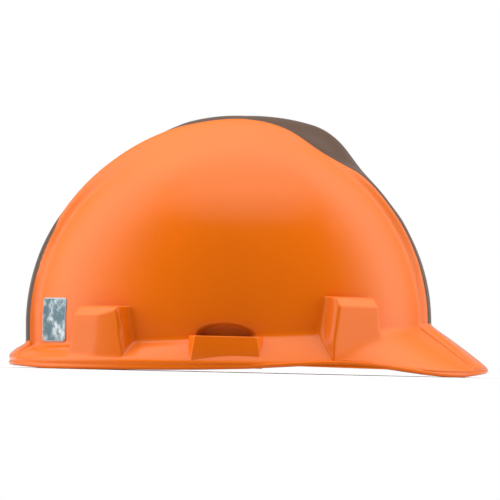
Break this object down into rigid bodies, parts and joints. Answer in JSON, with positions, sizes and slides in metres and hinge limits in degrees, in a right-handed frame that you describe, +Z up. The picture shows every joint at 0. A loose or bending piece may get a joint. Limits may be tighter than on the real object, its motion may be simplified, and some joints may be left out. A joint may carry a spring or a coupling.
{
  "type": "forestry safety helmet",
  "caption": "Cap-style safety helmet with a front peak, ridged crown, side accessory slots and a ratchet suspension inside.",
  "frame": {"origin": "middle of the bounding box, on the surface that the brim rests on", "axes": "+X forward over the peak, +Y the wearer's left, +Z up"},
  "size_m": [0.2852, 0.224, 0.153],
  "materials": {
    "shell_orange": "high gloss, moulded-in orange with a brown painted centre stripe",
    "decal_film": "prismatic reflective film",
    "nylon_black": "fine moulded grain",
    "webbing": "woven polyester",
    "band_grey": "satin",
    "pad_fabric": "terry-backed foam",
    "acetal_white": "satin",
    "knob_grey": "soft grain",
    "screw_steel": "zinc plated"
  },
  "bodies": {
    "helmet": {"shell": "shell_orange", "reflective_decal": "decal_film", "suspension_key_front_left": "nylon_black", "suspension_key_front_right": "nylon_black", "suspension_key_rear_left": "nylon_black", "suspension_key_rear_right": "nylon_black", "crown_strap_lower": "webbing", "crown_strap_upper": "webbing"},
    "headband": {"headband": "band_grey", "height_studs": "nylon_black", "brow_pad": "pad_fabric", "pivot_rivets": "band_grey"},
    "nape_yoke": {"nape_arm_left": "nylon_black", "nape_arm_right": "nylon_black", "ratchet_housing": "nylon_black", "ratchet_backplate": "nylon_black", "click_spring": "acetal_white", "nape_pad": "pad_fabric"},
    "left_strap": {"nape_strap_left": "band_grey"},
    "right_strap": {"nape_strap_right": "band_grey"},
    "knob": {"ratchet_knob": "knob_grey", "drive_pinion": "acetal_white", "knob_screw": "screw_steel"}
  },
  "joints": [
    {"name": "height_adjust", "type": "slide", "parent": "helmet", "child": "headband", "axis": [0, 0, 1], "range_m": [-0.012, 0]},
    {"name": "nape_tilt", "type": "hinge", "parent": "headband", "child": "nape_yoke", "pos_m": [-0.014, 0, 0.0164], "axis": [0, -1, 0], "range_deg": [0, 30]},
    {"name": "knob_turn", "type": "hinge", "parent": "nape_yoke", "child": "knob", "pos_m": [-0.1155, 0, 0.0164], "axis": [-1, 0, 0], "range_deg": [-200, 200]},
    {"name": "left_strap_draw", "type": "hinge", "parent": "nape_yoke", "child": "left_strap", "pos_m": [-0.03, 0, 0.0164], "axis": [0, 0, 1], "range_deg": [-13.5, 13.5]},
    {"name": "right_strap_draw", "type": "hinge", "parent": "nape_yoke", "child": "right_strap", "pos_m": [-0.03, 0, 0.0164], "axis": [0, 0, 1], "range_deg": [-13.5, 13.5]}
  ],
  "couplings": [
    {"joint": "left_strap_draw", "follows": "knob_turn", "ratio": -0.06305},
    {"joint": "right_strap_draw", "follows": "knob_turn", "ratio": 0.06165}
  ]
}
